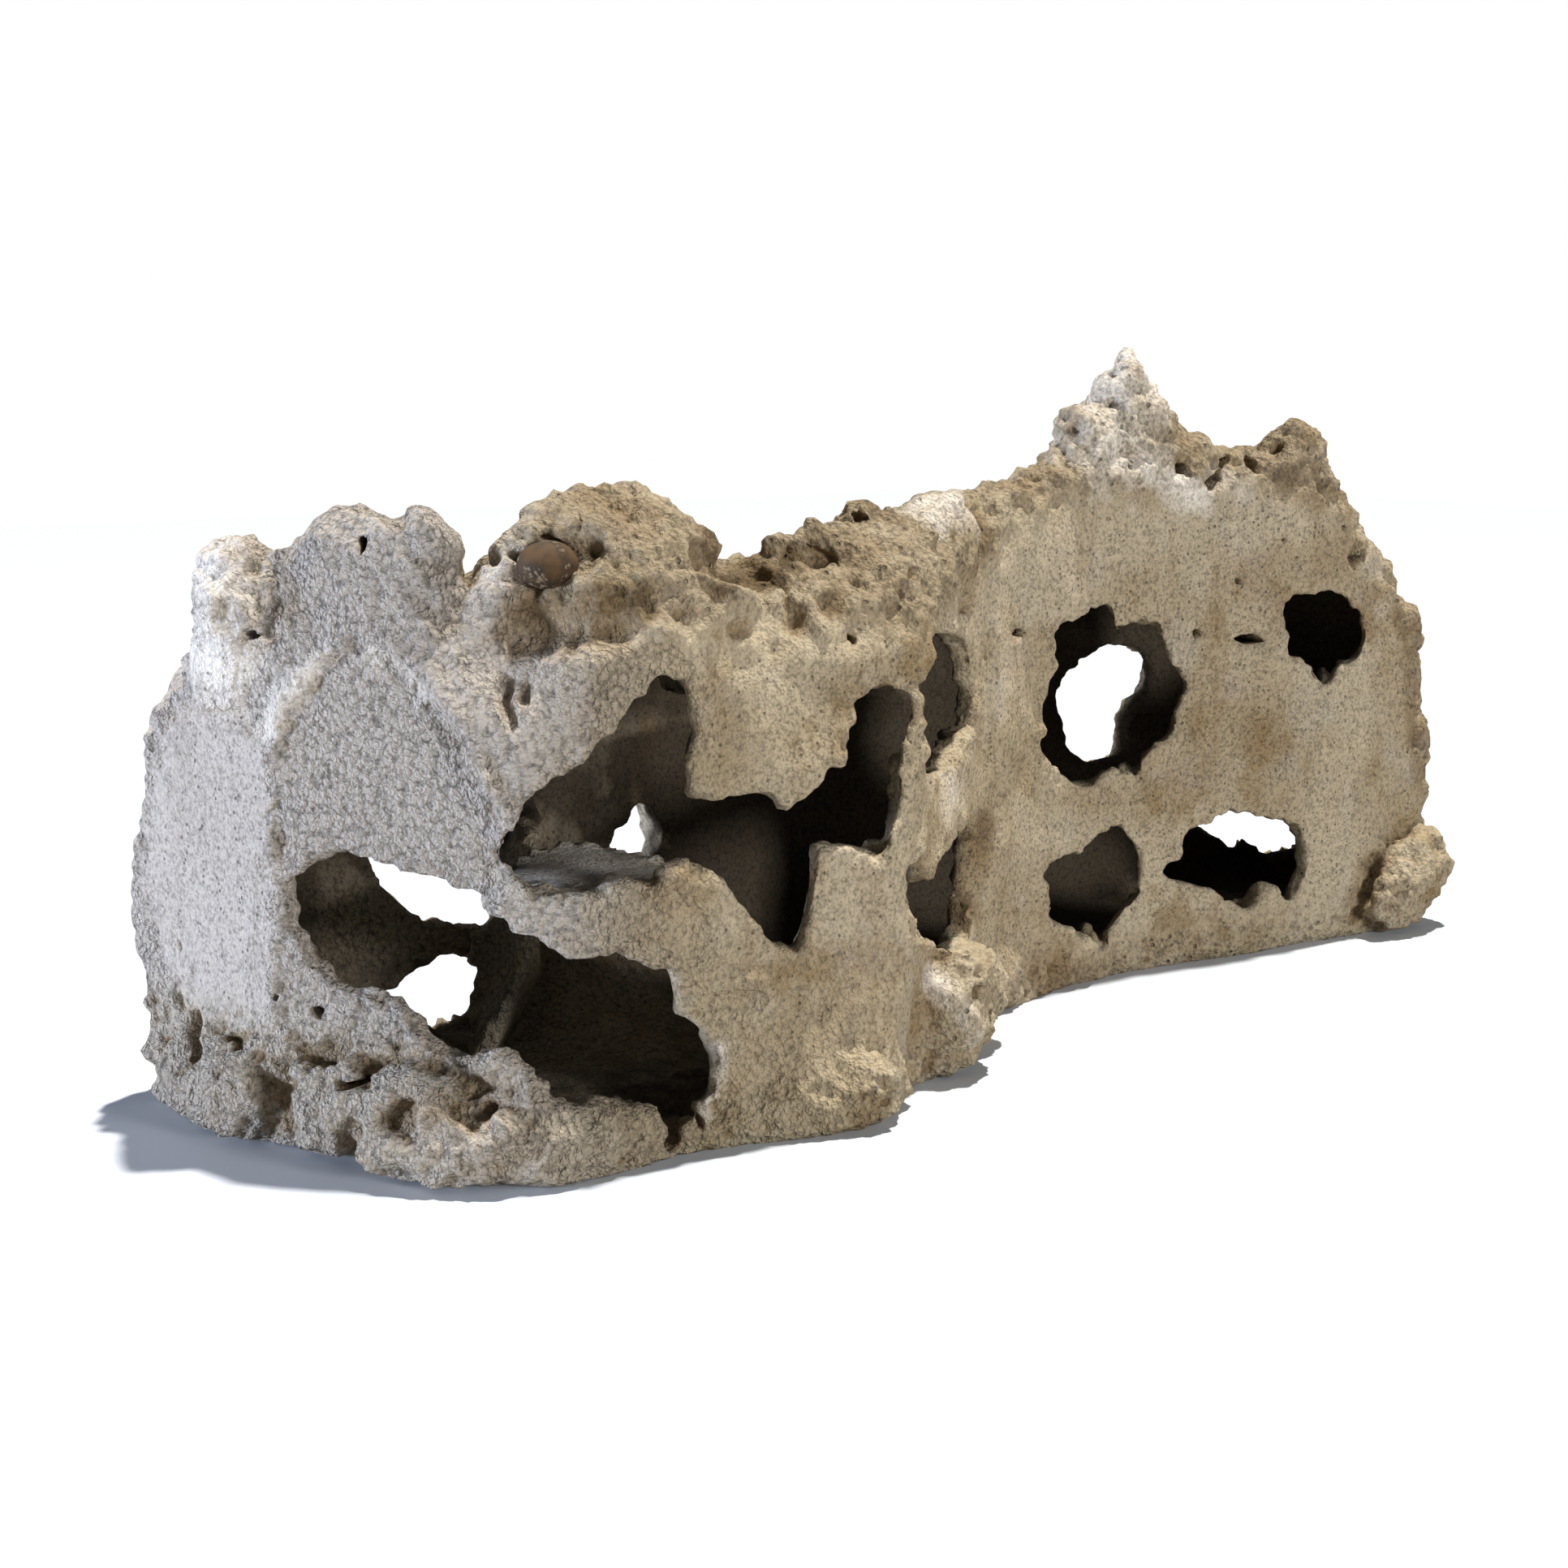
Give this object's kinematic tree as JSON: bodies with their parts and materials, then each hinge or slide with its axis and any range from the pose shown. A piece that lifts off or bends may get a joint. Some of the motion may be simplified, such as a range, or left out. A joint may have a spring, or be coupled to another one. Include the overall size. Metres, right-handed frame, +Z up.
{
  "type": "holey limestone cave rock",
  "caption": "Long hollow sandy limestone rock with ragged openings through its front and back walls, standing flat as a hiding place in an aquarium.",
  "frame": {"origin": "centre of the footprint's bounding box, on the plane that the rock rests on", "axes": "+X along the length towards the tall peak, -Y towards the front with the large openings, +Z up"},
  "size_m": [0.5932, 0.2102, 0.258],
  "materials": {
    "stone": "rough sandy limestone",
    "pebble": "smooth worn brown pebble"
  },
  "bodies": {
    "root": {"stone": "stone", "pebble": "pebble"}
  },
  "joints": []
}
